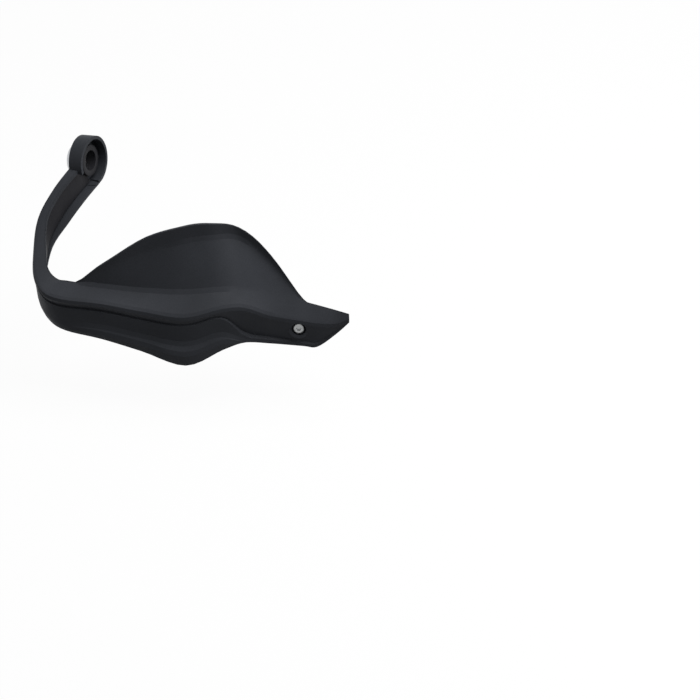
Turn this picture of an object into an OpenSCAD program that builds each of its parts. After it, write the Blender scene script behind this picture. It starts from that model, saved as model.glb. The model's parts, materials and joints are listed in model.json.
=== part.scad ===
/* [Moulding] */
// Wall of the moulded guard
wall = 3; // [2.6:0.1:3.4]
// Bar end to the outer corner, measured forwards
arm_reach = 115; // [108:1:122]
// How far the arm bows outboard of the bar end
arm_bow = 37; // [33:1:41]
// Bar end down to the ledge at the outer corner
arm_drop = 41; // [37:1:45]
// Bar end to the inner tip, measured across
tip_x = 241; // [234:1:248]
// Bar end to the prow, measured forwards
prow_reach = 158; // [154:1:162]
// Tallest part of the wing, ledge to rim crease
wing_h = 42; // [36:1:50]
// Lean of the wing back from upright
wing_lean = 27; // [22:1:32]
// Height of the rim above its crease
rim_h = 16; // [12:1:19]
// Lean of the rim back from upright
rim_lean = 1; // [-3:1:6]
// Width of the ledge at the prow
ledge_w = 21; // [18:1:24]
// Height of the lower face at the prow
face_h = 50; // [46:1:54]
// How far the foot of the prow stands forward
flare = 6; // [3:0.5:8]
// How far the foot turns back under itself
curl = 1.2; // [0.4:0.2:2]
// Depth of the groove under the ledge
groove = 2.2; // [1:0.2:3]
// Radius along the outer edge of the ledge
edge_r = 3.5; // [2.5:0.5:4.5]
// Length of the rounding on each side of a crease
crease_r = 2.5; // [1.5:0.5:3]
// Length of the rounding on each side of the free edges
lip_r = 1; // [0.6:0.2:1.2]
// Thickness of the ribs behind the front
rib = 2; // [1.6:0.2:2.6]

/* [Bar end eye] */
// Outer diameter of the eye cup
cup_d = 45; // [44:0.5:47]
// Depth of the eye cup behind the bar axis, outer face to rim
cup_depth = 14; // [13:0.5:16]
// Slope of the eye cup's rim, shallower to the front
cup_slope = 4; // [2:0.5:6]
// Floor of the eye cup
cup_floor = 3.5; // [3:0.5:4]
// Hole for the bar end
bar_hole_d = 23.5; // [23:0.5:25]
// Sweep of the bar axis forwards, going inboard
bar_sweep = 22; // [18:1:26]
// Rise of the bar axis, going inboard
bar_rise = 10; // [6:1:14]

/* [Arm cover] */
// Width of the cover's band
band_w = 16; // [14:0.5:17]
// Thickness of the cover's band
band_t = 2.4; // [2:0.2:2.8]
// Outer diameter of the cover's eye
cover_eye_d = 28; // [27:0.5:30]
// Height of the cover's eye over the floor of the cup
cover_eye_h = 5.5; // [4.5:0.5:6.5]
// Hole through the cover's eye
cover_hole_d = 18.5; // [17:0.5:19.5]

/* [Bar end washer and ring] */
// Outer diameter of the cup washer
washer_d = 26.5; // [26:0.5:28]
// Thickness of the cup washer
washer_t = 8; // [7:0.5:9]
// Diameter of the washer's recess
recess_d = 20.5; // [20:0.5:21.5]
// Depth of the washer's recess
recess_t = 5.5; // [4.5:0.5:6]
// Hole through the cup washer
washer_hole_d = 10.5; // [9:0.5:12]
// Outer diameter of the spacer ring
ring_d = 18.5; // [17:0.5:19]
// Bore of the spacer ring
ring_bore_d = 14; // [13:0.5:15]
// Thickness of the spacer ring
ring_t = 2.4; // [2:0.2:3]

/* [Inner mount] */
// Mount centre from the bar end, across
mount_x = 197; // [194:1:200]
// Mount centre below the edge of the ledge
mount_below = 10.5; // [9.5:0.5:11.5]
// Tilt of the mount screw, head upwards
mount_tilt = 17; // [12:1:20]
// Boss round the metal sleeve
boss_d = 18; // [17:0.5:19]
// Boss length behind the face
boss_len = 18; // [16:1:22]
// Counterbore for the screw head
cbore_d = 13; // [12.5:0.5:13.5]
// Depth of the counterbore
cbore_t = 4; // [3.5:0.5:5]
// Outer diameter of the metal sleeve
sleeve_d = 9; // [8.5:0.5:10]
// Thread diameter of the mount screw
screw_d = 6; // [5:1:6]
// Diameter of the screw's button head
head_d = 10.5; // [9.5:0.5:11]
// Height of the screw's button head
head_t = 3.3; // [2.8:0.1:3.6]
// Hexagon socket across flats
socket_af = 4; // [3:1:4]
// Width of the clip that holds the nut
clip_w = 12; // [11:0.5:14]
// Sheet thickness of the clip
clip_t = 1; // [0.8:0.1:1.2]
// Gap in the clip for the bracket of the motorcycle
clip_gap = 3; // [2:0.5:4]
// Square nut across flats
nut_af = 9.5; // [9:0.5:10]
// Thickness of the square nut
nut_t = 4.5; // [4:0.5:5]

/* [Hidden] */
$fn = 64;
// Clearance of a pin in its bore, on the diameter
fit = 0.2;
// Clearance between pieces that lie side by side
gap = 0.3;
// Clearance of the cover's band behind the floor of the channel, which twists with the arm
band_gap = 0.5;
// Overlap of pieces that are moulded as one
sink = 0.8;
// Overshoot of a cut past the face that it opens
cut = 1;
// Chamfer on the turned washer
chamfer = 0.8;
// Wing height from which its wall stands at full lean
full_wing = 9;

// Places along the guard: bar end 0, corner 5 to 7, prow 10, neck 12 to 14, heel 15, inner tip 17
STEPS = 5;
U_MOUTH = 1 / STEPS;
U_BAND = 2 / STEPS;
U_COVER = 6;
U_NECK = 14;
U_END = 17;
RIBS = [6.6, 7.6, 8.6, 9.5, 10.5, 11.4, 12.4];

// One row for each place along the ledge's outer edge. Columns:
// x, y, z, ledge width, ledge rise, wing, rim, face height, foot, return, groove height, groove depth, flare,
// lean of the wing
ROWS = [
  [ 0.00*arm_bow,  0.02*arm_reach,   5, 10.5,  0.0, 0.00, 0.00, 27, -5.2, 12.0,  7,  0.0, 0.0, 0.55],
  [-0.30*arm_bow, -0.18*arm_reach,   4, 10.0,  0.0, 0.00, 0.00, 27, -5.2, 13.0,  7,  0.0, 0.0, 0.55],
  [-0.65*arm_bow, -0.37*arm_reach,  -4,  9.0,  0.0, 0.00, 0.00, 28, -5.0, 12.5,  7,  0.0, 0.0, 0.55],
  [-0.94*arm_bow, -0.57*arm_reach, -16,  9.5,  0.0, 0.00, 0.00, 31, -4.0,  8.0,  8,  0.0, 0.0, 0.55],
  [-1.00*arm_bow, -0.80*arm_reach, -31, 11.5,  0.5, 0.00, 0.00, 35, -3.0,  5.5,  8,  0.2, 0.0, 0.55],
  [-0.95*arm_bow, -1.00*arm_reach, -arm_drop, 14, 1.5, 0.00, 0.00, 37, -3.5, 6.0, 8, 0.6, 0.0, 0.55],
  [-0.70*arm_bow, -132, -47, 19.0,  2.5, 0.00, 0.00, 34, -3.0,  7.0,  8.5, 1.0, 0.1, 0.55],
  [ -8, -141, -48, 21.0,  3.5, -0.05, -0.05, 35,  1.0,  7.0,  9.5, 1.0, 0.3, 0.55],
  [ 25, -146, -49, 19.0,  4.5, 0.38, 0.40, 37,  4.5,  6.0,  9.5, 1.0, 0.6, 0.55],
  [ 60, -152, -52.5, 20.0, 7.5, 0.79, 0.94, 42, 5.0,  6.0, 10.5, 1.0, 0.8, 0.75],
  [ 98, -prow_reach, -55, ledge_w, 12, 0.97, 0.98, face_h, flare, 6.0, 10.5, 1.0, 1.0, 0.93],
  [130, -153, -49.5, 17.0,  8.5, 0.95, 0.93, 43,  4.5,  6.0, 11.0, 1.0, 0.8, 1.10],
  [150, -149, -51, 15.0,  9.0, 0.79, 0.72, 38,  2.5,  6.0, 31.0,  1.4, 0.2, 1.55],
  [172, -149, -60, 15.0, 13.5, 0.44, 0.52, 31,  1.0,  6.0, 27.0,  1.2, 0.0, 1.65],
  [200, -151, -64.5, 12.5, 11.5, 0.04, 0.08, 28.5, 0.0, 6.0, 25.0,  1.0, 0.0, 1.65],
  [213, -151.5, -66.5, 10.5, 11.5, 0.00, 0.02, 27, 0.0, 5.5, 23.5, 0.8, 0.0, 1.65],
  [229, -151, -67.5,  7.5,  9.0, 0.00, 0.00, 12.5, 0.0, 4.0,  9.5,  0.4, 0.0, 1.65],
  [tip_x, -150, -62.5, 2.0,  3.0, 0.00, 0.00,  4.5, 0.0, 3.0,  2.5,  0.0, 0.0, 1.65],
];

// Smooth curve through the rows
function smooth(a, b, c, d, t) =
  0.5 * (2 * b + (c - a) * t + (2 * a - 5 * b + 4 * c - d) * t * t + (3 * b - a - 3 * c + d) * t * t * t);
function row_at(u) =
  let (i = min(len(ROWS) - 2, max(0, floor(u))), t = u - i)
  smooth(ROWS[max(0, i - 1)], ROWS[i], ROWS[i + 1], ROWS[min(len(ROWS) - 1, i + 2)], t);

// Outboard direction in plan, averaged over a stretch so that the inner edges don't fold
function outward(u) =
  let (d = row_at(min(U_END, u + 0.8)) - row_at(max(0, u - 0.8)), l = norm([d[0], d[1]]))
  [d[1] / l, -d[0] / l];

// Wall at one place, thinner where the inner tip runs out
function wall_at(r) = min(wall, r[7] * 0.2);

// Inner corners of the face, under the ledge and over the foot
function under_ledge(r) =
  let (w = wall_at(r))
  [-w - max(0, r[11]) * groove, -w - min(edge_r, r[7] * 0.1) * 0.4];
function over_foot(r) =
  let (w = wall_at(r))
  [r[8] - curl - w, -r[7] + w];

// Outer points of the face: floor of the groove, its step, top of the flare and its lower end
function groove_floor(r) = [-max(0, r[11]) * groove, -r[10] * 0.95];
function groove_step(r) =
  let (fl = max(0, r[12]))
  [-0.3 * max(0, r[11]) * groove + r[8] * (1 - fl) * r[10] / r[7], -r[10]];
function flare_top(r) =
  let (fl = max(0, r[12]), below = r[7] - r[10])
  [groove_step(r)[0] * (1 + fl) / 2 + r[8] * (1 - fl) * 0.4, -r[10] - below * (0.7 - 0.22 * fl)];
function flare_end(r) = [r[8], -r[7] + (r[7] - r[10]) * (0.12 + 0.22 * max(0, r[12]))];

// Inside of the face: a wall's thickness behind each outer point, and never in front of the channel's floor
function inner_face(r) =
  let (
    w = wall_at(r),
    a = under_ledge(r),
    b = over_foot(r),
    behind = function (p, from_foot, share)
      let (z = max(p[1], b[1] + from_foot), floor_x = a[0] + (b[0] - a[0]) * (z - a[1]) / (b[1] - a[1]))
      [min(floor_x, p[0] - w) * (1 - share) + (p[0] - w) * share, z],
    low = [0, -0.4 * w]
  )
  [
    a,
    behind(groove_floor(r), 0.9 * w, 0),
    behind(flare_top(r) + low, 0.6 * w, 0),
    behind(flare_end(r) + low, 0.3 * w, max(0, r[12])),
    b
  ];

// Corner b between a and c, eased over a length on each side of it
function eased(a, b, c, length) = [
  for (end = [a, c]) b + min(length, 0.4 * norm(end - b)) * (end - b) / norm(end - b)
];

// The same corner with a point in the middle of the rounding
function rounded(a, b, c, length) =
  let (e = eased(a, b, c, length))
  [e[0], (e[0] + 2 * b + e[1]) / 4, e[1]];

// Section of the moulding at one place: points as outboard offset and height from the ledge edge
function section(u) =
  let (
    r = row_at(u),
    wing = max(0.01, r[5]) * wing_h,
    rim = max(0.02, r[6]) * rim_h,
    h = r[7],
    foot = r[8],
    lean = r[13] * wing_lean,
    turn = (90 - lean) * min(1, wing / full_wing),
    w = wall_at(r),
    back = w * [-sin(turn), -cos(turn)],
    L = [-r[3], r[4]],
    C = L + wing * [-tan(lean), 1],
    T = C + rim * [-tan(rim_lean), 1],
    er = min(edge_r, r[3] * 0.45, h * 0.2),
    fillet = min(crease_r, h * 0.1),
    G = groove_step(r),
    D = flare_top(r),
    F = flare_end(r),
    B = [foot - curl, -h],
    inner = inner_face(r)
  )
  [
    each eased(T + back, T, C, lip_r),
    each eased(T, C, L, crease_r),
    each eased(C, L, [0, 0], crease_r),
    each rounded(L, [0, 0], [0, -h], er),
    groove_floor(r),
    G,
    each eased(G, D, F, fillet),
    each eased(D, F, B, fillet),
    B,
    [foot - r[9], -h],
    [foot - r[9], -h + w * 0.8],
    each [for (k = [len(inner) - 1:-1:0]) inner[k]],
    L + [-w * sin(turn), -w],
    C + back,
    T + back
  ];

// Point of a section placed in space
function place(u, p) =
  let (r = row_at(u), n = outward(u))
  [r[0] + n[0] * p[0], r[1] + n[1] * p[0], r[2] + p[1]];

// Closed skin through a list of rings with the same number of points
module loft(rings) {
  n = len(rings[0]);
  m = len(rings);
  points = [for (ring = rings) each ring];
  sides = [
    for (i = [0:m - 2], j = [0:n - 1])
      let (a = i * n + j, b = i * n + (j + 1) % n, c = a + n, d = b + n)
      each [[a, d, b], [a, c, d]]
  ];
  ends = [[for (j = [0:n - 1]) j], [for (j = [n - 1:-1:0]) (m - 1) * n + j]];
  polyhedron(points, concat(sides, ends), convexity = 8);
}

// Moulding and cover both take their rings at these places
function places(from, to) = [for (k = [0:round((to - from) * STEPS)]) from + k / STEPS];

module shell() {
  loft([for (u = places(0, U_END)) [for (p = section(u)) place(u, p)]]);
}

// Inside of the arm's channel, where it opens into the eye cup
module channel_mouth() {
  loft([
    for (u = places(U_MOUTH, 1 + U_MOUTH))
      let (r = row_at(u), a = under_ledge(r), b = over_foot(r), m = gap)
      [
        for (p = [[-cup_depth * 2, -wall - m], a + [0, -m + edge_r * 0.4], b + [0, m], [-cup_depth * 2, b[1] + m]])
          place(u, p)
      ]
  ]);
}

module on_bar_axis(z = 0) {
  rotate([0, 0, -bar_sweep]) rotate([0, 90 - bar_rise, 0]) translate([0, 0, z]) children();
}

// Centre of the inner mount, on the front face
mount_u = U_NECK + (mount_x - ROWS[U_NECK][0]) / (ROWS[U_NECK + 1][0] - ROWS[U_NECK][0]);
mount_floor = groove_floor(row_at(mount_u));
mount_out = mount_floor[0] * (mount_below - edge_r) / (-mount_floor[1] - edge_r);
mount_at = place(mount_u, [mount_out, -mount_below]);

// The mount's axis runs from the front face down to the rear, from a given depth
module on_mount_axis(depth = 0) {
  translate([mount_x, mount_at[1], mount_at[2]]) rotate([-90 - mount_tilt, 0, 0])
    translate([0, 0, depth]) children();
}

// Reach of the cross plates from the face, under the ledge and at the foot
rib_in = 9;
rib_foot = 2;
// How far the plates reach into the wall of the face, which is thin at the top of the flare
rib_sink = 0.3;

// Cross plate inside the front, from ledge to foot
module front_rib(u) {
  r = row_at(u);
  a = under_ledge(r);
  b = over_foot(r);
  outline = [a + [-rib_in, sink], a + [rib_sink, sink], b + [rib_sink, -sink], b + [-rib_foot, -sink]];
  d = outward(u) * rib / 2;
  loft([for (s = [-1, 1]) [for (p = outline) place(u, p) + s * [-d[1], d[0], 0]]]);
}

module guard_moulding() {
  color("#2c2d30") difference() {
    union() {
      shell();
      on_bar_axis() cylinder(d = cup_d, h = cup_depth);
      on_mount_axis(sink) cylinder(d = boss_d, h = boss_len - sink);
      for (u = RIBS) front_rib(u);
    }
    on_bar_axis(cup_floor) cylinder(d = cup_d - 2 * wall, h = cup_d);
    on_bar_axis(-washer_t) cylinder(d = washer_d + 2 * gap, h = washer_t);
    on_bar_axis(-cut) cylinder(d = bar_hole_d, h = cup_depth);
    on_bar_axis(cup_depth) rotate([cup_slope, 0, 0]) translate([-cup_d, -cup_d * 1.5, 0]) cube([cup_d * 2, cup_d * 2, cup_d]);
    channel_mouth();
    on_mount_axis(-wall) cylinder(d = cbore_d, h = wall + cbore_t);
    on_mount_axis() cylinder(d = sleeve_d + fit, h = boss_len + cut);
  }
}

// Band of the cover, along the inside of the arm's web
module cover_band() {
  loft([
    for (u = places(U_BAND, U_COVER))
      let (
        r = row_at(u),
        a = under_ledge(r),
        b = over_foot(r),
        long = norm(a - b),
        mid = (a + b) / 2,
        half = (a - b) / long * min(band_w, long - 2 * gap) / 2,
        out = [-band_gap, 0],
        thick = [-band_t, 0]
      )
      [for (p = [mid + half + out, mid - half + out, mid - half + out + thick, mid + half + out + thick]) place(u, p)]
  ]);
}

module arm_cover() {
  color("#232427") difference() {
    union() {
      cover_band();
      on_bar_axis(cup_floor + gap) cylinder(d = cover_eye_d, h = cover_eye_h);
      on_bar_axis(gap) cylinder(d = bar_hole_d - 2 * fit, h = cup_floor + gap);
    }
    on_bar_axis(-cut) cylinder(d = cover_hole_d, h = cup_d);
  }
}

module cup_washer() {
  color("#c3c5c8") on_bar_axis(-washer_t) rotate_extrude() polygon([
    [washer_hole_d / 2, washer_t],
    [washer_hole_d / 2, recess_t],
    [recess_d / 2, recess_t],
    [recess_d / 2, 0],
    [washer_d / 2 - chamfer, 0],
    [washer_d / 2, chamfer],
    [washer_d / 2, washer_t - chamfer],
    [washer_d / 2 - chamfer, washer_t],
  ]);
}

module spacer_ring() {
  color("#b9bbbe") on_bar_axis(-washer_t + recess_t - ring_t) difference() {
    cylinder(d = ring_d, h = ring_t);
    translate([0, 0, -cut]) cylinder(d = ring_bore_d, h = ring_t + 2 * cut);
  }
}

// End of the screw past the nut
screw_over = 1;
sleeve_len = boss_len - cbore_t;
clip_y = boss_len;
nut_y = clip_y + 2 * clip_t + clip_gap;

module mount_sleeve() {
  color("#c8cacd") on_mount_axis(cbore_t) difference() {
    cylinder(d = sleeve_d, h = sleeve_len);
    translate([0, 0, -cut]) cylinder(d = screw_d + 2 * fit, h = sleeve_len + 2 * cut);
  }
}

module mount_screw() {
  shank = nut_y + nut_t + screw_over - cbore_t;
  dome = [for (a = [0:15:75]) [head_d / 2 * cos(a), head_t * 0.35 + head_t * 0.65 * sin(a)]];
  color("#d2d4d6") on_mount_axis(cbore_t) difference() {
    union() {
      cylinder(d = screw_d, h = shank);
      mirror([0, 0, 1]) rotate_extrude()
        polygon(concat([[0, 0], [head_d / 2, 0]], dome, [[0, head_t]]));
    }
    translate([0, 0, -head_t - cut]) cylinder(d = socket_af / cos(30), h = head_t, $fn = 6);
  }
}

// Folded sheet: two leaves and a bend below, drilled for the screw
module nut_clip() {
  r = clip_t + clip_gap / 2;
  color("#a9abae") difference() {
    on_mount_axis(clip_y) union() {
      for (z = [0, clip_t + clip_gap]) translate([-clip_w / 2, -clip_w / 2, z]) cube([clip_w, clip_w, clip_t]);
      translate([-clip_w / 2, clip_w / 2, r]) rotate([0, 90, 0]) intersection() {
        difference() {
          cylinder(r = r, h = clip_w);
          translate([0, 0, -cut]) cylinder(r = clip_gap / 2, h = clip_w + 2 * cut);
        }
        translate([-r, 0, 0]) cube([2 * r, r, clip_w]);
      }
    }
    on_mount_axis(clip_y - cut) cylinder(d = screw_d + 2 * fit, h = nut_y);
  }
}

module square_nut() {
  color("#b4b6b9") on_mount_axis(nut_y) difference() {
    translate([-nut_af / 2, -nut_af / 2, 0]) cube([nut_af, nut_af, nut_t]);
    translate([0, 0, -cut]) cylinder(d = screw_d, h = nut_t + 2 * cut);
  }
}

guard_moulding();
arm_cover();
cup_washer();
spacer_ring();
mount_sleeve();
mount_screw();
nut_clip();
square_nut();
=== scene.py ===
"""Studio scene of a moulded motorcycle hand guard with its bar end and bracket fittings.

The mouldings, the sleeve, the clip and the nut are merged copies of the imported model's solids, with
their square edges rounded. The washer, its ring and the screw are turned again to the sizes of
their solids, with chamfers and a thread, on the axes that the record's mounts give.
"""
import json
import logging
import math
from dataclasses import dataclass, field
from enum import Enum
from typing import Iterable, Sequence

import bmesh
import bpy
from mathutils import Matrix, Vector


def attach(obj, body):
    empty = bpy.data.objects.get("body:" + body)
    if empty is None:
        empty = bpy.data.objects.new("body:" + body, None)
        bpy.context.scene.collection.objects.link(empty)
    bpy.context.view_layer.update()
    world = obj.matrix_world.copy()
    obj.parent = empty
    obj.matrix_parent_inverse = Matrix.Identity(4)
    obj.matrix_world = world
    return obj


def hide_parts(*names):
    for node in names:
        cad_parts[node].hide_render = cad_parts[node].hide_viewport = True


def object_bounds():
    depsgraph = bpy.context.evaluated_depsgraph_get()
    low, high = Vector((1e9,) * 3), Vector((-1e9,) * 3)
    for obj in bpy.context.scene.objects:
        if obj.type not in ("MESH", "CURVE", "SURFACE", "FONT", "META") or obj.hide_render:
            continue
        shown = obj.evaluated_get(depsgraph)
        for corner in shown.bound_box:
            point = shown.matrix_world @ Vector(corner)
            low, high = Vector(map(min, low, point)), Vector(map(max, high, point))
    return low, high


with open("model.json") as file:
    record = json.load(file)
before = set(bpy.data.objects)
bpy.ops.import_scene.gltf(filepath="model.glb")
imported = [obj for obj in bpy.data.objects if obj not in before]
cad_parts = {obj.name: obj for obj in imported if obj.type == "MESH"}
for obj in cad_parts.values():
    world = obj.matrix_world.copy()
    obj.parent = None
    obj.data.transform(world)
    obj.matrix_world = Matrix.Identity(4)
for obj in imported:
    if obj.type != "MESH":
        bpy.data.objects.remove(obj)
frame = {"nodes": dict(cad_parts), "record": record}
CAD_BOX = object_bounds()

MM = 0.001
BODY = "root"
WHITE = "ffffff"
# A Mix node's colour sockets go by index, because its number sockets have the same names.
MIX_A, MIX_B, MIX_RESULT = 6, 7, 2

Profile = Sequence[tuple[float, float]]
log = logging.getLogger("hand_guard")


class Slot(Enum):
    """The record's material slots. No piece in the script reads them."""

    MOULDED_PLASTIC = "moulded_plastic"
    COVER_PLASTIC = "cover_plastic"
    TURNED_ALUMINIUM = "turned_aluminium"
    PLATED_STEEL = "plated_steel"


def linear(hex_code: str) -> tuple[float, float, float, float]:
    """Turns an sRGB hex colour into the linear colour that a shader takes.

    Args:
        hex_code: Six hex digits, such as "2b2c2e".

    Returns:
        Linear red, green and blue, and an alpha of 1.
    """
    toe_end, toe_slope, offset, gamma = 0.04045, 12.92, 0.055, 2.4
    channels = [int(hex_code[i:i + 2], 16) / 255 for i in (0, 2, 4)]
    values = [c / toe_slope if c <= toe_end else ((c + offset) / (1 + offset)) ** gamma for c in channels]
    return (*values, 1.0)


def per_metre(size_mm: float) -> float:
    """Texture scale at which one cell of a pattern on Object coordinates measures size_mm."""
    return 1 / (size_mm * MM)


def add_node(
    tree: bpy.types.NodeTree, kind: str, inputs: dict | None = None, **settings
) -> bpy.types.Node:
    """Adds a node with its settings and links.

    Args:
        tree: The material's or world's node tree.
        kind: The node's type name.
        inputs: Value or source socket for each of its inputs, by name or index.
        settings: Properties of the node itself.

    Returns:
        The new node.
    """
    node = tree.nodes.new(kind)
    for key, value in settings.items():
        setattr(node, key, value)
    for key, value in (inputs or {}).items():
        if isinstance(value, bpy.types.NodeSocket):
            tree.links.new(value, node.inputs[key])
        else:
            node.inputs[key].default_value = value
    return node


def empty_material(name: str) -> tuple[bpy.types.Material, bpy.types.NodeTree]:
    """Makes a material whose node tree is empty.

    Args:
        name: The material's name.

    Returns:
        The material and its tree.
    """
    material = bpy.data.materials.new(name)
    material.use_nodes = True
    material.node_tree.nodes.clear()
    return material, material.node_tree


def seen_directly(tree: bpy.types.NodeTree, share: float) -> bpy.types.NodeSocket:
    """Tells the rays that show a background from those that light the part.

    Args:
        tree: The tree of the paper's material or of the world.
        share: Value for camera, glossy and transmission rays.

    Returns:
        A socket that is share for those rays and 0 for the others.
    """
    path = add_node(tree, "ShaderNodeLightPath").outputs
    metal = add_node(
        tree,
        "ShaderNodeMath",
        {0: path["Is Camera Ray"], 1: path["Is Glossy Ray"]},
        operation="MAXIMUM",
    )
    glass = add_node(
        tree,
        "ShaderNodeMath",
        {0: metal.outputs[0], 1: path["Is Transmission Ray"]},
        operation="MAXIMUM",
    )
    seen = add_node(tree, "ShaderNodeMath", {0: glass.outputs[0], 1: share}, operation="MULTIPLY")
    return seen.outputs[0]


@dataclass(frozen=True)
class Axis:
    """A line in the part's frame that turned pieces stand on.

    Attributes:
        origin: A point of the line, in metres.
        direction: Unit vector along the line.
    """

    origin: Vector
    direction: Vector

    @classmethod
    def of_mount(cls, name: str, direction_of: str | None = None) -> "Axis":
        """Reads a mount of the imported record.

        Args:
            name: The mount that gives the origin.
            direction_of: The mount that gives the direction, where that is another one.

        Returns:
            The line.
        """
        mounts = {mount["name"]: mount for mount in frame["record"]["mounts"]}
        direction = Vector(mounts[direction_of or name]["axis"]).normalized()
        return cls(Vector(mounts[name]["pos_m"]), direction)

    def matrix(self) -> Matrix:
        """Transform that puts a shape drawn along +Z at the world origin on this axis."""
        turn = self.direction.to_track_quat("Z", "Y").to_matrix().to_4x4()
        return Matrix.Translation(self.origin) @ turn


@dataclass(frozen=True)
class MouldedPlastic:
    """Injection moulded polypropylene with an eroded grain: the grain scatters the light, so the
    surface is matt, with a very faint sheen and no clear reflection.

    Attributes:
        name: Name of the material.
        light: Colour where the grain stands higher: painted highlight on the grain, over random clouds of
            tone.
        dark: Colour where the grain sinks: painted shade in its low spots, over random clouds of tone.
        roughness: Mean roughness of the grained surface.
        roughness_swing: How far a patch strays from that mean.
        cloud_mm: Width of the broad clouds in the colour.
        gloss_patch_mm: Width of the patches that differ in roughness.
        grain_mm: Width of one pit of the grain. The real one is about 0.15 mm, drawn coarser so
            that it shows.
        grain_depth_mm: Depth of the pits.
        ior: Index of refraction of polypropylene.
        specular: Specular level. It is low, because a glossy ray sees plain white all round, which
            would veil so dark a plastic.
    """

    name: str
    light: str
    dark: str
    roughness: float
    roughness_swing: float = 0.04
    cloud_mm: float = 45
    gloss_patch_mm: float = 9
    grain_mm: float = 0.7
    grain_depth_mm: float = 0.05
    ior: float = 1.49
    specular: float = 0.08

    def material(self) -> bpy.types.Material:
        """Builds the node tree.

        Returns:
            The finished material.
        """
        tint_low, tint_high = 0.12, 0.38
        patch_low, patch_high = 0.3, 0.7
        material, tree = empty_material(self.name)
        place = add_node(tree, "ShaderNodeTexCoord").outputs["Object"]
        cloud = add_node(
            tree,
            "ShaderNodeTexNoise",
            {"Vector": place, "Scale": per_metre(self.cloud_mm), "Detail": 3.0},
        )
        speck = add_node(
            tree,
            "ShaderNodeTexNoise",
            {"Vector": place, "Scale": per_metre(self.grain_mm), "Detail": 2.0},
        )
        both = add_node(
            tree,
            "ShaderNodeMath",
            {0: cloud.outputs["Fac"], 1: speck.outputs["Fac"]},
            operation="MULTIPLY",
        )
        # The speck that also raises the grain's bump lightens its high spots and darkens its low ones
        # (painted highlight and painted shade), times broad random clouds of tone.
        tint = add_node(
            tree,
            "ShaderNodeMapRange",
            {"Value": both.outputs[0], "From Min": tint_low, "From Max": tint_high},
        )
        colour = add_node(
            tree,
            "ShaderNodeMix",
            {"Factor": tint.outputs[0], MIX_A: linear(self.dark), MIX_B: linear(self.light)},
            data_type="RGBA",
        )
        patch = add_node(
            tree,
            "ShaderNodeTexNoise",
            {"Vector": place, "Scale": per_metre(self.gloss_patch_mm), "Detail": 4.0},
        )
        rough = add_node(
            tree,
            "ShaderNodeMapRange",
            {
                "Value": patch.outputs["Fac"],
                "From Min": patch_low,
                "From Max": patch_high,
                "To Min": self.roughness - self.roughness_swing,
                "To Max": self.roughness + self.roughness_swing,
            },
        )
        pits = add_node(
            tree,
            "ShaderNodeTexVoronoi",
            {"Vector": place, "Scale": per_metre(self.grain_mm)},
            feature="SMOOTH_F1",
        )
        height = add_node(
            tree,
            "ShaderNodeMath",
            {0: pits.outputs["Distance"], 1: speck.outputs["Fac"]},
            operation="ADD",
        )
        grain = add_node(
            tree,
            "ShaderNodeBump",
            {"Height": height.outputs[0], "Distance": self.grain_depth_mm * MM, "Strength": 0.6},
        )
        shader = add_node(
            tree,
            "ShaderNodeBsdfPrincipled",
            {
                "Base Color": colour.outputs[MIX_RESULT],
                "Roughness": rough.outputs[0],
                "Normal": grain.outputs[0],
                "IOR": self.ior,
                "Specular IOR Level": self.specular,
            },
        )
        add_node(tree, "ShaderNodeOutputMaterial", {"Surface": shader.outputs[0]})
        return material


@dataclass(frozen=True)
class TurnedAluminium:
    """Bare aluminium, faced and turned on a lathe: fine rings round the axis stretch each highlight
    across them, and the same rings paint shade into the tool marks and highlight on their crests.

    Attributes:
        name: Name of the material.
        axis: The lathe's axis.
        light: Colour on the crests of the tool marks, a painted highlight.
        dark: Colour in the tool marks, painted shade in the grooves.
        roughness: Roughness between the marks.
        feed_mm: Spacing of the tool marks. The real feed is about 0.1 mm, drawn coarser to show.
        mark_depth_mm: Depth of the tool marks.
    """

    name: str
    axis: Axis
    light: str = "d9dadc"
    dark: str = "a9abaf"
    roughness: float = 0.3
    feed_mm: float = 0.79
    mark_depth_mm: float = 0.01

    def material(self) -> bpy.types.Material:
        """Builds the node tree.

        Returns:
            The finished material.
        """
        # The wave texture's phase runs 20 radians in one unit, at a scale of 1.
        rings_in_a_unit = 20 / math.tau
        material, tree = empty_material(self.name)
        place = add_node(tree, "ShaderNodeTexCoord").outputs["Object"]
        to_lathe = self.axis.matrix().inverted()
        lathe = add_node(
            tree,
            "ShaderNodeMapping",
            {"Vector": place, "Location": to_lathe.to_translation(), "Rotation": to_lathe.to_euler()},
        )
        rings = add_node(
            tree,
            "ShaderNodeTexWave",
            {
                "Vector": lathe.outputs[0],
                "Scale": per_metre(self.feed_mm) / rings_in_a_unit,
                "Distortion": 1.5,
                "Detail": 2.0,
            },
            wave_type="RINGS",
            rings_direction="Z",
        )
        # The rings paint the grooves darker and the crests lighter: painted shade and painted highlight.
        colour = add_node(
            tree,
            "ShaderNodeMix",
            {"Factor": rings.outputs["Fac"], MIX_A: linear(self.dark), MIX_B: linear(self.light)},
            data_type="RGBA",
        )
        marks = add_node(
            tree,
            "ShaderNodeBump",
            {"Height": rings.outputs["Fac"], "Distance": self.mark_depth_mm * MM, "Strength": 0.5},
        )
        shader = add_node(
            tree,
            "ShaderNodeBsdfPrincipled",
            {
                "Base Color": colour.outputs[MIX_RESULT],
                "Metallic": 1.0,
                "Roughness": self.roughness,
                "Normal": marks.outputs[0],
            },
        )
        add_node(tree, "ShaderNodeOutputMaterial", {"Surface": shader.outputs[0]})
        return material


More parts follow.
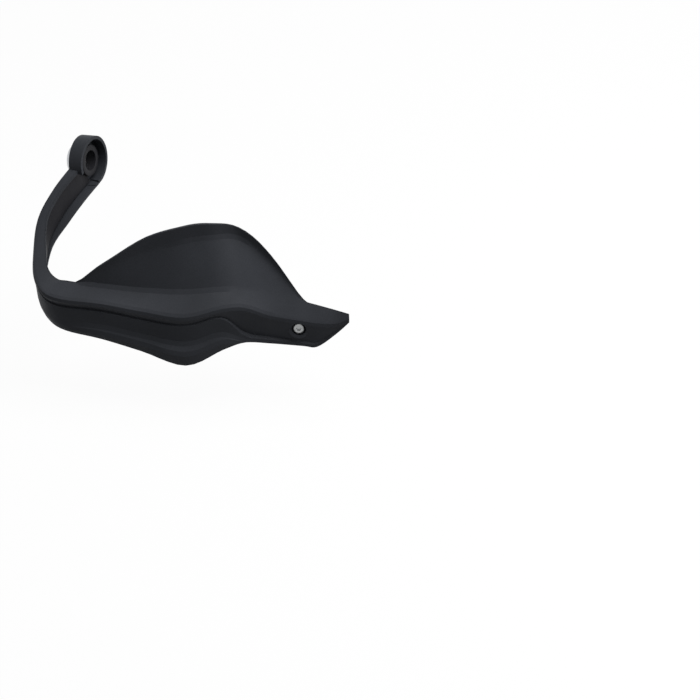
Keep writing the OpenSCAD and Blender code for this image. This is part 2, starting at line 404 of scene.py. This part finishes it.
@dataclass(frozen=True)
class ZincPlatedSteel:
    """Cold formed steel with a thin bright zinc coat: soft, slightly uneven shine with a fine
    crystalline mottle.

    Attributes:
        name: Name of the material.
        light: Colour of the brighter crystals.
        dark: Colour of the duller ones.
        roughness: Mean roughness.
        roughness_swing: How far the dullest and brightest crystals stray from that mean.
        crystal_mm: Width of one patch of the mottle, drawn coarser than the real one to show.
        crystal_depth_mm: Height of the patches.
    """

    name: str
    light: str = "aeafae"
    dark: str = "7c7e80"
    roughness: float = 0.34
    roughness_swing: float = 0.08
    crystal_mm: float = 0.8
    crystal_depth_mm: float = 0.02

    def material(self) -> bpy.types.Material:
        """Builds the node tree.

        Returns:
            The finished material.
        """
        dull, bright = 0.35, 0.65
        material, tree = empty_material(self.name)
        place = add_node(tree, "ShaderNodeTexCoord").outputs["Object"]
        crystals = add_node(
            tree,
            "ShaderNodeTexNoise",
            {"Vector": place, "Scale": per_metre(self.crystal_mm), "Detail": 5.0},
        )
        colour = add_node(
            tree,
            "ShaderNodeMix",
            {"Factor": crystals.outputs["Fac"], MIX_A: linear(self.dark), MIX_B: linear(self.light)},
            data_type="RGBA",
        )
        rough = add_node(
            tree,
            "ShaderNodeMapRange",
            {
                "Value": crystals.outputs["Fac"],
                "From Min": dull,
                "From Max": bright,
                "To Min": self.roughness + self.roughness_swing,
                "To Max": self.roughness - self.roughness_swing,
            },
        )
        skin = add_node(
            tree,
            "ShaderNodeBump",
            {"Height": crystals.outputs["Fac"], "Distance": self.crystal_depth_mm * MM, "Strength": 0.3},
        )
        shader = add_node(
            tree,
            "ShaderNodeBsdfPrincipled",
            {
                "Base Color": colour.outputs[MIX_RESULT],
                "Metallic": 1.0,
                "Roughness": rough.outputs[0],
                "Normal": skin.outputs[0],
            },
        )
        add_node(tree, "ShaderNodeOutputMaterial", {"Surface": shader.outputs[0]})
        return material


@dataclass(frozen=True)
class StudioPaper:
    """White background paper: matt and evenly lit, so it shows as plain white with the part's soft
    shadow on it.

    Attributes:
        name: Name of the material.
        colour: Colour that the paper throws back on the part.
        glow: Share of plain white that the camera, metal and glass see in place of the paper.
    """

    name: str = "white background paper"
    colour: str = "6e6e6e"
    glow: float = 0.94

    def material(self) -> bpy.types.Material:
        """Builds the node tree.

        Returns:
            The finished material.
        """
        material, tree = empty_material(self.name)
        share = seen_directly(tree, self.glow)
        seen_colour = add_node(
            tree,
            "ShaderNodeMix",
            {"Factor": share, MIX_A: linear(self.colour), MIX_B: linear(WHITE)},
            data_type="RGBA",
        )
        paper = add_node(tree, "ShaderNodeBsdfDiffuse", {"Color": seen_colour.outputs[MIX_RESULT]})
        white = add_node(tree, "ShaderNodeEmission", {"Color": linear(WHITE), "Strength": 1.0})
        both = add_node(
            tree, "ShaderNodeMixShader", {0: share, 1: paper.outputs[0], 2: white.outputs[0]}
        )
        add_node(tree, "ShaderNodeOutputMaterial", {"Surface": both.outputs[0]})
        return material


def sharp_edges(mesh: bmesh.types.BMesh, degrees: float) -> list[bmesh.types.BMEdge]:
    """Lists the edges where two faces meet at more than an angle.

    Args:
        mesh: The mesh.
        degrees: The least turn from one face to the next.

    Returns:
        Those edges.
    """
    least = math.radians(degrees)
    return [e for e in mesh.edges if e.is_manifold and e.calc_face_angle(0.0) > least]


def shade(mesh: bmesh.types.BMesh, degrees: float) -> None:
    """Shades every face smooth and keeps the edges sharp that turn by more than an angle.

    Args:
        mesh: The mesh.
        degrees: The least turn at a sharp edge.
    """
    for face in mesh.faces:
        face.smooth = True
    for edge in sharp_edges(mesh, degrees):
        edge.smooth = False


def soften(mesh: bmesh.types.BMesh, width_mm: float, degrees: float, segments: int = 2) -> None:
    """Rounds the sharp edges of a mesh.

    Args:
        mesh: The mesh.
        width_mm: Width of the rounding.
        degrees: The least turn at an edge that is rounded.
        segments: Faces across the rounding.
    """
    bmesh.ops.bevel(
        mesh,
        geom=sharp_edges(mesh, degrees),
        offset=width_mm * MM,
        offset_type="OFFSET",
        segments=segments,
        profile=0.5,
        affect="EDGES",
        material=-1,
        clamp_overlap=True,
    )


def fold_lines(piece: bpy.types.Object, degrees: float) -> None:
    """Lets the folds that run along the front show as lines, though they turn less than a corner does.

    Args:
        piece: The moulding, already shaded.
        degrees: The least turn at a fold.
    """
    least_x_share = 0.8
    mesh = bmesh.new()
    mesh.from_mesh(piece.data)
    for edge in sharp_edges(mesh, degrees):
        run = (edge.verts[1].co - edge.verts[0].co).normalized()
        if abs(run.x) > least_x_share:
            edge.smooth = False
    mesh.to_mesh(piece.data)
    mesh.free()


def flat_panels(piece: bpy.types.Object) -> None:
    """Keeps the wide faces of a moulding flat, so that the light turns only at its narrow folds.

    Args:
        piece: The moulding.
    """
    weights = piece.modifiers.new("flat panels", "WEIGHTED_NORMAL")
    weights.mode = "FACE_AREA"
    weights.keep_sharp = True


def add_object(name: str, data: bpy.types.ID) -> bpy.types.Object:
    """Adds an object to the scene.

    Args:
        name: Name of the object.
        data: Its mesh, light or camera.

    Returns:
        The new object.
    """
    item = bpy.data.objects.new(name, data)
    bpy.context.scene.collection.objects.link(item)
    return item


def finished(mesh: bmesh.types.BMesh, name: str, degrees: float = 35) -> bpy.types.Object:
    """Turns a bmesh into an object that is shaded smooth between its sharp edges.

    Args:
        mesh: The shape, in metres in the part's frame. It is freed.
        name: Name of the object.
        degrees: The least turn at an edge that stays sharp.

    Returns:
        The new object.
    """
    shade(mesh, degrees)
    data = bpy.data.meshes.new(name)
    mesh.to_mesh(data)
    mesh.free()
    return add_object(name, data)


def dress(piece: bpy.types.Object, node: str, material: bpy.types.Material) -> None:
    """Gives a piece its finish and puts it in the place of a solid.

    Args:
        piece: The piece.
        node: The solid that it stands for.
        material: Its material.
    """
    piece.data.materials.clear()
    piece.data.materials.append(material)
    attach(piece, BODY)
    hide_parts(node)
    log.info("%s: %d faces, stands for %s", piece.name, len(piece.data.polygons), node)


def merged_copy(node: str) -> bmesh.types.BMesh:
    """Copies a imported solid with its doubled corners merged.

    Args:
        node: The solid's name.

    Returns:
        The copy, closed and with its faces as the solid has them.
    """
    weld_mm = 0.002
    mesh = bmesh.new()
    mesh.from_mesh(frame["nodes"][node].data)
    bmesh.ops.remove_doubles(mesh, verts=mesh.verts, dist=weld_mm * MM)
    return mesh


def draw(
    mesh: bmesh.types.BMesh, profile: Profile
) -> tuple[list[bmesh.types.BMVert], list[bmesh.types.BMEdge]]:
    """Draws a closed profile beside the Z axis.

    Args:
        mesh: The mesh that it is added to.
        profile: Radius and height of each corner, in millimetres.

    Returns:
        Its points and its sides.
    """
    points = [mesh.verts.new((radius * MM, 0, height * MM)) for radius, height in profile]
    sides = [mesh.edges.new(pair) for pair in zip(points, points[1:] + points[:1])]
    return points, sides


def sweep(mesh: bmesh.types.BMesh, geom: list, steps: int, turns: int = 1, pitch: float = 0.0) -> list:
    """Sweeps a drawn profile round the Z axis. Without a pitch, its end is merged with its start.

    Args:
        mesh: The mesh that holds the profile.
        geom: The profile's points and sides.
        steps: Faces in one turn.
        turns: Number of turns.
        pitch: Rise in one turn, in millimetres.

    Returns:
        The points and sides of the last section.
    """
    swept = bmesh.ops.spin(
        mesh,
        geom=geom,
        cent=(0, 0, 0),
        axis=(0, 0, 1),
        dvec=(0, 0, pitch * MM / steps),
        angle=math.tau * turns,
        steps=steps * turns,
        use_merge=pitch == 0,
        use_normal_flip=False,
        use_duplicate=False,
    )
    return swept["geom_last"]


def turned(profile: Profile) -> bmesh.types.BMesh:
    """Turns a closed profile about the Z axis.

    Args:
        profile: Radius and height of each corner, in millimetres.

    Returns:
        The closed shape.
    """
    steps = 96
    weld_mm = 0.001
    mesh = bmesh.new()
    points, sides = draw(mesh, profile)
    sweep(mesh, points + sides, steps)
    bmesh.ops.remove_doubles(mesh, verts=mesh.verts, dist=weld_mm * MM)
    # A side that lies on the axis sweeps out no face and is left as a loose edge.
    bmesh.ops.delete(mesh, geom=[edge for edge in mesh.edges if edge.is_wire], context="EDGES")
    bmesh.ops.recalc_face_normals(mesh, faces=mesh.faces)
    return mesh


def helix(profile: Profile, pitch: float, turns: int) -> bmesh.types.BMesh:
    """Winds a closed profile about the Z axis into a thread's ridge.

    Args:
        profile: Radius and height of each corner of the first section, in millimetres.
        pitch: Rise in one turn, in millimetres.
        turns: Number of turns.

    Returns:
        The closed ridge.
    """
    steps = 32
    mesh = bmesh.new()
    points, sides = draw(mesh, profile)
    mesh.faces.new(points)
    last = sweep(mesh, points + sides, steps, turns, pitch)
    mesh.faces.new([item for item in last if isinstance(item, bmesh.types.BMVert)])
    bmesh.ops.recalc_face_normals(mesh, faces=mesh.faces)
    return mesh


def join(target: bmesh.types.BMesh, source: bmesh.types.BMesh) -> None:
    """Adds a copy of one bmesh to another and frees the source.

    Args:
        target: The mesh that grows.
        source: The mesh that is copied and freed.
    """
    data = bpy.data.meshes.new("joined")
    source.to_mesh(data)
    source.free()
    target.from_mesh(data)
    bpy.data.meshes.remove(data)


def stand(mesh: bmesh.types.BMesh, axis: Axis) -> bmesh.types.BMesh:
    """Moves a shape that was drawn along +Z onto an axis of the part.

    Args:
        mesh: The shape.
        axis: The line that its Z axis goes to.

    Returns:
        The same mesh.
    """
    bmesh.ops.transform(mesh, matrix=axis.matrix(), verts=mesh.verts)
    return mesh


@dataclass
class Mouldings:
    """The two injection mouldings: the guard itself and the cover that lines its arm.

    Attributes:
        edge_mm: Rounding of the edges that the tool left square.
        square_deg: The least turn at such an edge.
        crease_deg: The least turn at a corner that still shows as a line.
        fold_deg: The least turn at a fold along the front that does.
        band_w: Width of the cover's band, in millimetres.
        widening: Share by which the band's free end is wider.
        widening_y: Where along Y the band starts to widen, in millimetres.
        widening_run: Length along Y over which it does, in millimetres.
    """

    edge_mm: float = 0.3
    square_deg: float = 62
    crease_deg: float = 46
    fold_deg: float = 12
    band_w: float = 16
    widening: float = 0.3
    widening_y: float = -95
    widening_run: float = 32

    def guard(self) -> None:
        """Builds the guard: one shell with the arm, the front and the wing."""
        finish = MouldedPlastic(
            "grained black polypropylene",
            light="383a3f",
            dark="303236",
            roughness=0.52,
        )
        mesh = merged_copy("guard_moulding")
        soften(mesh, self.edge_mm, self.square_deg)
        piece = finished(mesh, "moulded_guard", self.crease_deg)
        fold_lines(piece, self.fold_deg)
        flat_panels(piece)
        dress(piece, "guard_moulding", finish.material())

    def widen_end(self, mesh: bmesh.types.BMesh) -> None:
        """Widens the free end of the cover's band, which rests in the corner of the guard.

        Args:
            mesh: The cover, with the four corners of each section of its band.
        """
        near = 0.03
        across = [e for e in mesh.edges if abs(e.calc_length() / MM - self.band_w) < near]
        for edge in across:
            middle = (edge.verts[0].co + edge.verts[1].co) / 2
            share = min(1.0, (self.widening_y - middle.y / MM) / self.widening_run)
            if share <= 0:
                continue
            for corner in edge.verts:
                corner.co = middle + (corner.co - middle) * (1 + self.widening * share**2)

    def cover(self) -> None:
        """Builds the cover: a band along the arm with an eye at the bar end."""
        finish = MouldedPlastic(
            "smooth black polypropylene",
            light="2a2a2d",
            dark="232326",
            roughness=0.42,
            grain_depth_mm=0.015,
        )
        mesh = merged_copy("arm_cover")
        self.widen_end(mesh)
        soften(mesh, self.edge_mm, self.square_deg)
        piece = finished(mesh, "arm_lining", self.crease_deg)
        dress(piece, "arm_cover", finish.material())

    def build(self) -> None:
        """Builds both mouldings."""
        self.guard()
        self.cover()


@dataclass
class BarEndStack:
    """The turned pieces outside the eye: the cup washer and the ring in its recess.

    All sizes are in millimetres, and heights count outboard from the eye's outer face.

    Attributes:
        axis: The handlebar's axis, pointing outboard from the eye's outer face.
        washer_r: Outer radius of the washer.
        washer_t: Thickness of the washer.
        recess_r: Radius of its recess.
        recess_floor: Height of the recess's floor.
        hole_r: Radius of its hole.
        ring_r: Outer radius of the ring.
        ring_bore_r: Radius of the ring's bore.
        ring_t: Thickness of the ring.
        chamfer: Chamfer on the washer's outer edges.
        deburr: Chamfer on every other edge.
        edge: Width of the flat that breaks what is still sharp after those.
        broken_deg: The least turn at an edge that is broken so.
        line_deg: The least turn at an edge that shows as a line.
    """

    axis: Axis = field(default_factory=lambda: Axis.of_mount("bar_end_bolt_hole"))
    washer_r: float = 13.25
    washer_t: float = 8.0
    recess_r: float = 10.25
    recess_floor: float = 2.5
    hole_r: float = 5.25
    ring_r: float = 9.25
    ring_bore_r: float = 7.0
    ring_t: float = 2.4
    chamfer: float = 0.8
    deburr: float = 0.25
    edge: float = 0.1
    broken_deg: float = 40
    line_deg: float = 60

    def washer(self) -> bmesh.types.BMesh:
        """Turns the washer with its recess.

        Returns:
            The washer, drawn along +Z.
        """
        edge, top = self.deburr, self.washer_t
        return turned([
            (self.hole_r + edge, 0),
            (self.washer_r - self.chamfer, 0),
            (self.washer_r, self.chamfer),
            (self.washer_r, top - self.chamfer),
            (self.washer_r - self.chamfer, top),
            (self.recess_r + edge, top),
            (self.recess_r, top - edge),
            (self.recess_r, self.recess_floor),
            (self.hole_r + edge, self.recess_floor),
            (self.hole_r, self.recess_floor - edge),
            (self.hole_r, edge),
        ])

    def ring(self) -> bmesh.types.BMesh:
        """Turns the flat ring that lies on the recess's floor.

        Returns:
            The ring, drawn along +Z.
        """
        edge, low, top = self.deburr, self.recess_floor, self.recess_floor + self.ring_t
        return turned([
            (self.ring_bore_r + edge, low),
            (self.ring_r - edge, low),
            (self.ring_r, low + edge),
            (self.ring_r, top - edge),
            (self.ring_r - edge, top),
            (self.ring_bore_r + edge, top),
            (self.ring_bore_r, top - edge),
            (self.ring_bore_r, low + edge),
        ])

    def build(self) -> None:
        """Builds the washer and the ring."""
        metal = TurnedAluminium("faced and turned aluminium", self.axis).material()
        for mesh, node, name in (
            (self.washer(), "cup_washer", "turned_cup_washer"),
            (self.ring(), "spacer_ring", "turned_spacer_ring"),
        ):
            soften(mesh, self.edge, self.broken_deg, segments=1)
            piece = finished(stand(mesh, self.axis), name, self.line_deg)
            dress(piece, node, metal)


@dataclass
class InnerMount:
    """The fittings that hold the inner end of the guard to a bracket plate.

    All sizes are in millimetres, and heights count along the axis from the middle of the clip's gap.

    Attributes:
        axis: The screw's axis, with its origin in the middle of the clip's gap.
        thread_r: Outer radius of the thread.
        core_r: Radius at the thread's root.
        pitch: Pitch of the thread.
        turns: Turns of the thread that the screw has at its end.
        last_turn: Pitches from the middle of the last turn to the screw's end.
        root_share: Half width of the thread's ridge at its root, as a share of the pitch.
        crest_share: Half width of the ridge at its crest, as a share of the pitch.
        sunk: How deep the ridge's foot lies in the core.
        point: Chamfer at the screw's end.
        head_seat: Height of the underside of the screw's head.
        head_r: Radius of the head.
        head_t: Height of the head.
        socket_corner_r: Radius of the hexagon socket's corners.
        socket_rim_r: Radius of the flat rim round the socket.
        socket_depth: Depth of the socket.
        screw_end: Height of the screw's end.
        edge: Rounding of the fittings' edges.
        rounded_deg: The least turn at an edge that is rounded.
        line_deg: The least turn at an edge that shows as a line.
    """

    axis: Axis = field(default_factory=lambda: Axis.of_mount("bracket_gap", direction_of="bracket_seat"))
    thread_r: float = 3.0
    core_r: float = 2.45
    pitch: float = 1.0
    turns: int = 12
    last_turn: float = 0.5
    root_share: float = 0.46
    crest_share: float = 0.08
    sunk: float = 0.2
    point: float = 0.6
    head_seat: float = -16.5
    head_r: float = 5.25
    head_t: float = 3.3
    socket_corner_r: float = 2.31
    socket_rim_r: float = 2.65
    socket_depth: float = 2.3
    screw_end: float = 8.0
    edge: float = 0.18
    rounded_deg: float = 50
    line_deg: float = 40

    def thread_foot(self) -> float:
        """Height of the middle of the thread's first section."""
        return self.screw_end - self.pitch * (self.turns + self.last_turn)

    def dome(self) -> Profile:
        """Draws the button head's arc, from the socket's rim out to the head's edge.

        Returns:
            Radius and height of each corner.
        """
        flat_share = 0.35
        edge_h = self.head_seat - self.head_t * flat_share
        rise = self.head_t * (1 - flat_share)
        start = math.acos(self.socket_rim_r / self.head_r)
        steps = 7
        angles = [start * (1 - step / steps) for step in range(steps + 1)]
        return [(self.head_r * math.cos(a), edge_h - rise * math.sin(a)) for a in angles]

    def blank(self) -> bmesh.types.BMesh:
        """Turns the screw without its thread: socket, head, plain neck, core and point.

        Returns:
            The blank, drawn along +Z, with a round socket.
        """
        seat, end, edge = self.head_seat, self.screw_end, self.edge
        foot = self.thread_foot()
        dome = self.dome()
        floor = seat - self.head_t + self.socket_depth
        return turned([
            (0, floor),
            (self.socket_corner_r, floor),
            (self.socket_corner_r, dome[0][1] + edge),
            *dome,
            (self.head_r, seat - edge),
            (self.head_r - edge, seat),
            (self.thread_r, seat),
            (self.thread_r, foot),
            (self.core_r, foot + self.pitch / 2),
            (self.core_r, end - self.point),
            (self.core_r - self.point, end),
            (0, end),
        ])

    def hexagon(self, mesh: bmesh.types.BMesh) -> None:
        """Presses the round socket of the blank into a hexagon.

        Args:
            mesh: The turned blank.
        """
        sixth = math.tau / 6
        near = 0.01 * MM
        for corner in mesh.verts:
            radius = math.hypot(corner.co.x, corner.co.y)
            inside = corner.co.z < (self.head_seat - self.edge) * MM
            if inside and abs(radius - self.socket_corner_r * MM) < near:
                turn = math.atan2(corner.co.y, corner.co.x) % sixth - sixth / 2
                shrink = math.cos(sixth / 2) / math.cos(turn)
                corner.co.x *= shrink
                corner.co.y *= shrink

    def screw(self) -> bmesh.types.BMesh:
        """Builds the whole screw, with the rolled thread as a ridge on its core.

        Returns:
            The screw, drawn along +Z.
        """
        mesh = self.blank()
        self.hexagon(mesh)
        foot = self.thread_foot()
        half, crest = self.pitch * self.root_share, self.pitch * self.crest_share
        ridge = helix([
            (self.core_r - self.sunk, foot - half),
            (self.core_r, foot - half),
            (self.thread_r, foot - crest),
            (self.thread_r, foot + crest),
            (self.core_r, foot + half),
            (self.core_r - self.sunk, foot + half),
        ], self.pitch, self.turns)
        join(mesh, ridge)
        return mesh

    def copied(self, node: str) -> bmesh.types.BMesh:
        """Copies a fitting's solid, drawn along +Z, and rounds its edges.

        Args:
            node: The solid's name.

        Returns:
            The copy.
        """
        mesh = merged_copy(node)
        bmesh.ops.transform(mesh, matrix=self.axis.matrix().inverted(), verts=mesh.verts)
        soften(mesh, self.edge, self.rounded_deg)
        return mesh

    def build(self) -> None:
        """Builds the sleeve, the screw, the clip and the nut."""
        metal = ZincPlatedSteel("zinc plated steel").material()
        for mesh, node, name in (
            (self.copied("mount_sleeve"), "mount_sleeve", "sleeve_in_boss"),
            (self.screw(), "mount_screw", "button_head_screw"),
            (self.copied("nut_clip"), "nut_clip", "folded_nut_clip"),
            (self.copied("square_nut"), "square_nut", "square_clip_nut"),
        ):
            piece = finished(stand(mesh, self.axis), name, self.line_deg)
            dress(piece, node, metal)


@dataclass(frozen=True)
class SoftBox:
    """A square soft lamp that faces the middle of the part.

    Attributes:
        name: Name of the lamp.
        place: Where it hangs, from the middle of the part, in metres.
        size: Side of its face, in metres.
        watts: Its power.
    """

    name: str
    place: tuple[float, float, float]
    size: float
    watts: float

    def hang(self) -> None:
        """Adds the lamp to the scene."""
        data = bpy.data.lights.new(self.name, "AREA")
        data.shape = "SQUARE"
        data.size = self.size
        data.energy = self.watts
        lamp = add_object(self.name, data)
        middle = (CAD_BOX[0] + CAD_BOX[1]) / 2
        lamp.location = middle + Vector(self.place)
        lamp.rotation_euler = (-Vector(self.place)).to_track_quat("-Z", "Y").to_euler()


@dataclass
class Studio:
    """White paper, soft lamps and the camera.

    Attributes:
        aim: The point that the picture is centred on, in metres.
        distance: From that point to the camera, in metres.
        elevation_deg: Height of the camera above the horizon.
        lens_mm: Focal length.
        sensor_mm: Width of the sensor.
        floor_drop: From the part's lowest point down to the paper, in metres.
        paper_size: Side of the paper, in metres.
        fill: Strength of the white light from all round.
        soft_boxes: The lamps.
    """

    aim: Vector = field(default_factory=lambda: Vector((0.2416, -0.1484, -0.0991)))
    distance: float = 2.05
    elevation_deg: float = 40.0
    lens_mm: float = 120.0
    sensor_mm: float = 36.0
    floor_drop: float = 0.05
    paper_size: float = 12.0
    fill: float = 0.22
    soft_boxes: tuple[SoftBox, ...] = (
        SoftBox("overhead soft box", (0.3, 0.05, 1.4), size=1.0, watts=14),
        SoftBox("right soft box", (1.2, -0.2, 0.7), size=0.6, watts=10),
    )

    def camera(self) -> None:
        """Sets the camera at the photograph's viewing angle."""
        rise = math.radians(self.elevation_deg)
        back = Vector((0, -math.cos(rise), math.sin(rise)))
        data = bpy.data.cameras.new("camera")
        data.lens = self.lens_mm
        data.sensor_width = self.sensor_mm
        camera = add_object("camera", data)
        camera.location = self.aim + back * self.distance
        camera.rotation_euler = (-back).to_track_quat("-Z", "Y").to_euler()
        bpy.context.scene.camera = camera

    def paper(self) -> None:
        """Lays the paper under the part."""
        mesh = bmesh.new()
        bmesh.ops.create_grid(mesh, x_segments=1, y_segments=1, size=self.paper_size / 2)
        height = CAD_BOX[0].z - self.floor_drop
        bmesh.ops.translate(mesh, verts=mesh.verts, vec=(0, 0, height))
        floor = finished(mesh, "background_paper")
        floor.data.materials.append(StudioPaper().material())

    def world(self) -> None:
        """Lights the part evenly from all round, and shows white where there is no paper."""
        world = bpy.data.worlds.new("white studio")
        world.use_nodes = True
        tree = world.node_tree
        tree.nodes.clear()
        share = seen_directly(tree, 1 - self.fill)
        strength = add_node(tree, "ShaderNodeMath", {0: share, 1: self.fill}, operation="ADD")
        sky = add_node(
            tree, "ShaderNodeBackground", {"Color": linear(WHITE), "Strength": strength.outputs[0]}
        )
        add_node(tree, "ShaderNodeOutputWorld", {"Surface": sky.outputs[0]})
        bpy.context.scene.world = world

    def build(self) -> None:
        """Sets up the whole studio."""
        self.camera()
        self.paper()
        for box in self.soft_boxes:
            box.hang()
        self.world()
        bpy.context.scene.view_settings.view_transform = "Standard"


def main() -> None:
    """Builds the studio and every piece, in order."""
    logging.basicConfig(level=logging.INFO, format="%(name)s: %(message)s")
    Studio().build()
    Mouldings().build()
    BarEndStack().build()
    InnerMount().build()


if __name__ == "__main__":
    main()
